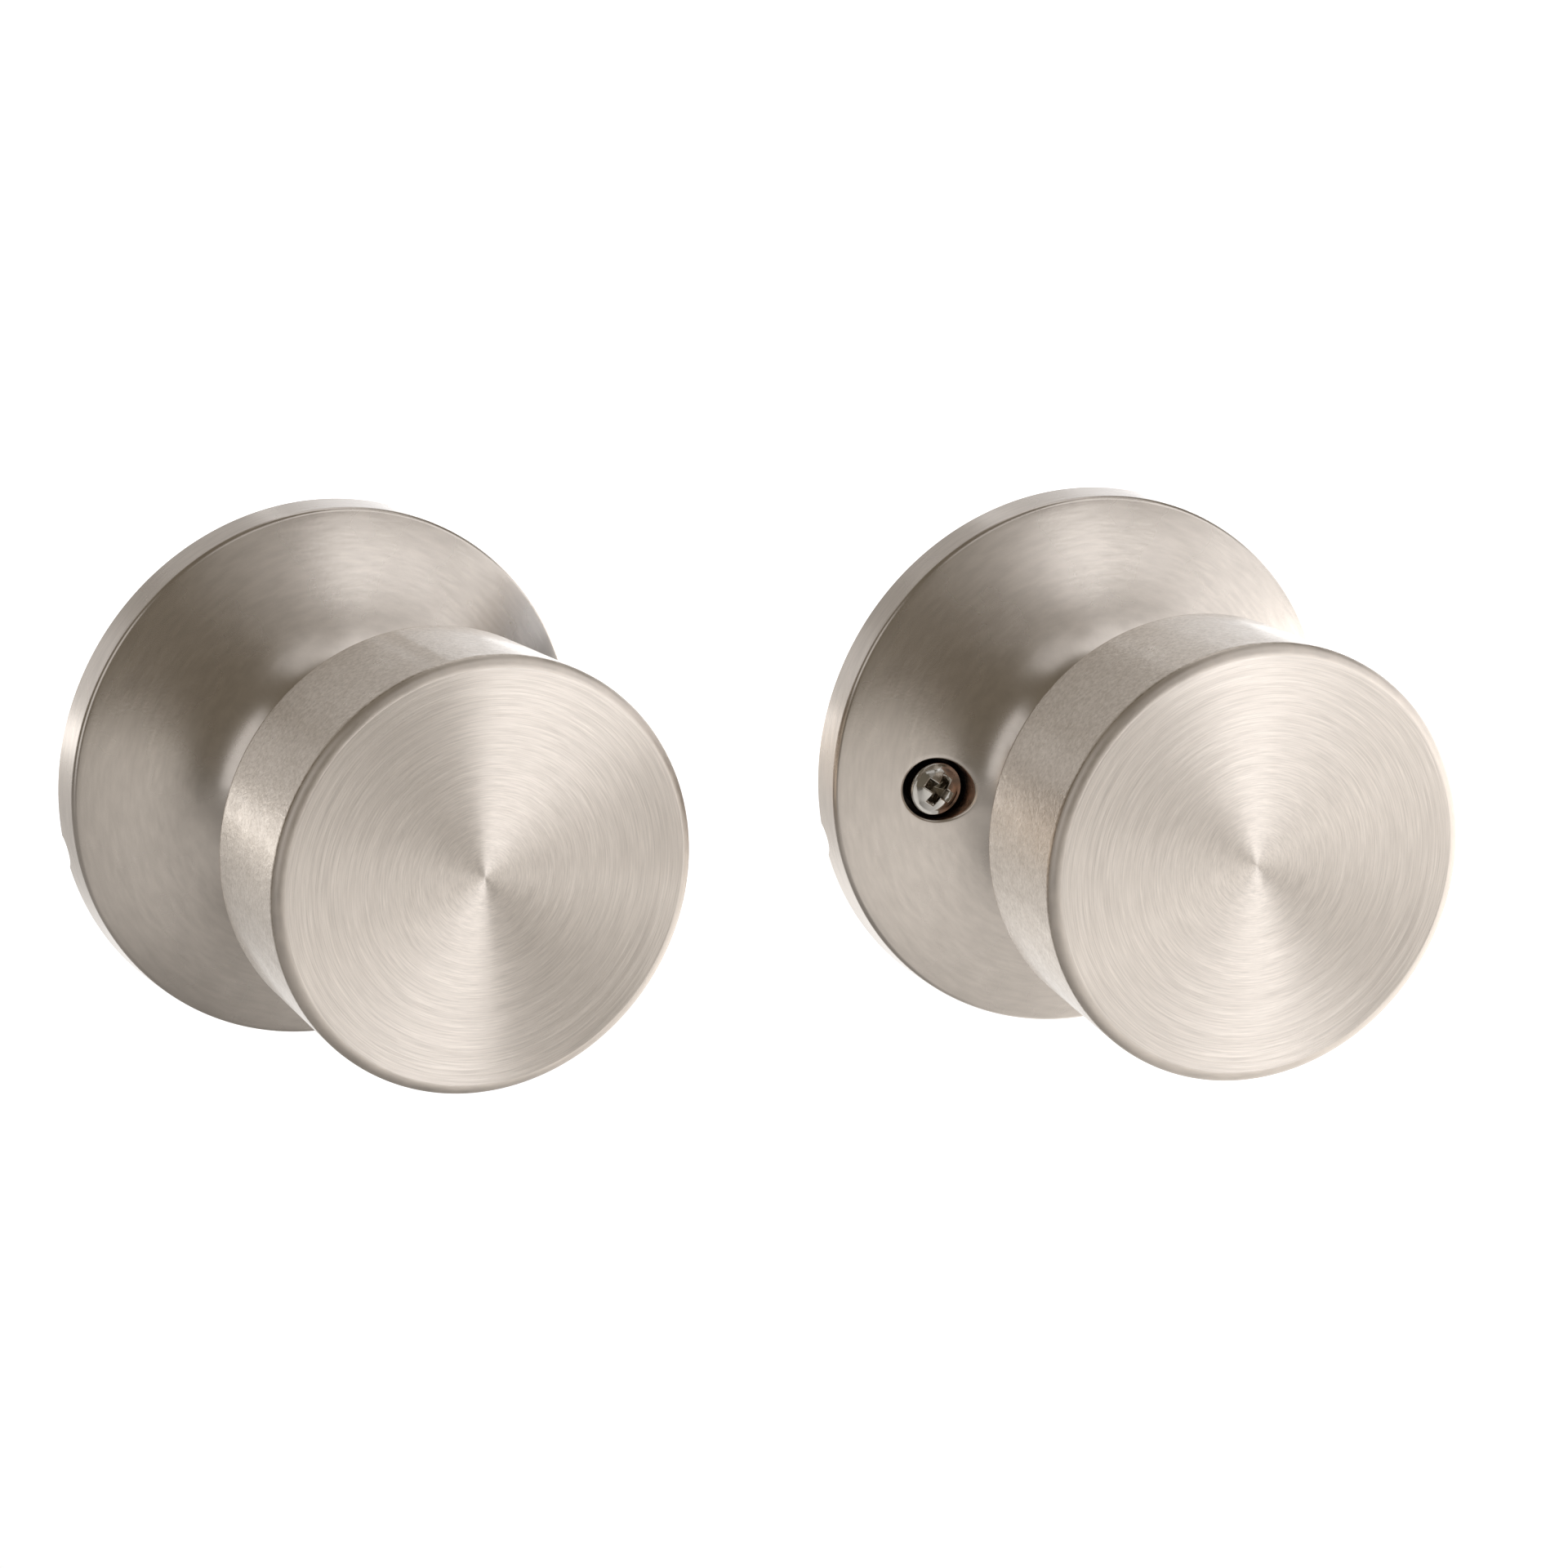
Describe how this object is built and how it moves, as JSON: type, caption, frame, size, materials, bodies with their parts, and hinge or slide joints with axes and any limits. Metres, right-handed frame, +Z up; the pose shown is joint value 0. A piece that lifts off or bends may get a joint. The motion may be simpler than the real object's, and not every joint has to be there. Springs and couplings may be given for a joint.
{
  "type": "door knob",
  "caption": "Passage door knob set: outside and inside halves with bell-shaped roses, drum knobs, spindle, posts and mounting screws, set out side by side.",
  "frame": {"origin": "centre of the outside rose's back face, where it meets the door, on the outside knob's axis", "axes": "+Y into the door along the knob's axis, -Y towards the user, +Z up, +X to the right as the user faces the knob"},
  "size_m": [0.154, 0.1375, 0.067],
  "materials": {
    "satin_nickel": "satin nickel, finely brushed",
    "satin_nickel_knob": "satin nickel, grained side and circularly brushed face",
    "die_cast_zinc": "as cast",
    "plated_steel": "bright zinc plated",
    "spring_steel": "oiled",
    "nylon": "moulded",
    "screw_nickel": "polished nickel plated"
  },
  "bodies": {
    "trim": {"outside_rose": "satin_nickel", "outside_mounting_plate": "plated_steel", "outside_bearing_bush": "nylon", "outside_return_spring": "spring_steel", "inside_rose": "satin_nickel", "inside_mounting_plate": "plated_steel", "inside_bearing_bush": "nylon", "inside_return_spring": "spring_steel", "mounting_posts": "plated_steel", "mounting_screws": "screw_nickel"},
    "outside_knob": {"outside_knob_shell": "satin_nickel_knob", "outside_knob_back": "satin_nickel", "outside_knob_core": "die_cast_zinc", "outside_core_pin": "spring_steel", "outside_shank": "plated_steel", "outside_drive_cam": "plated_steel", "outside_wave_washer": "spring_steel", "outside_snap_ring": "spring_steel", "spindle": "plated_steel"},
    "inside_knob": {"inside_knob_shell": "satin_nickel_knob", "inside_knob_back": "satin_nickel", "inside_knob_core": "die_cast_zinc", "inside_core_pin": "spring_steel", "inside_shank": "plated_steel", "inside_drive_cam": "plated_steel", "inside_wave_washer": "spring_steel", "inside_snap_ring": "spring_steel"}
  },
  "joints": [
    {"name": "outside_turn", "type": "hinge", "parent": "trim", "child": "outside_knob", "pos_m": [0, 0, 0], "axis": [0, 1, 0], "range_deg": [-50, 50], "stiffness_Nm_per_rad": 0.4, "deforming": ["outside_return_spring"]},
    {"name": "inside_turn", "type": "hinge", "parent": "trim", "child": "inside_knob", "pos_m": [0.087, -0.034, 0], "axis": [0, 1, 0], "range_deg": [-50, 50], "stiffness_Nm_per_rad": 0.4, "deforming": ["inside_return_spring"]}
  ]
}
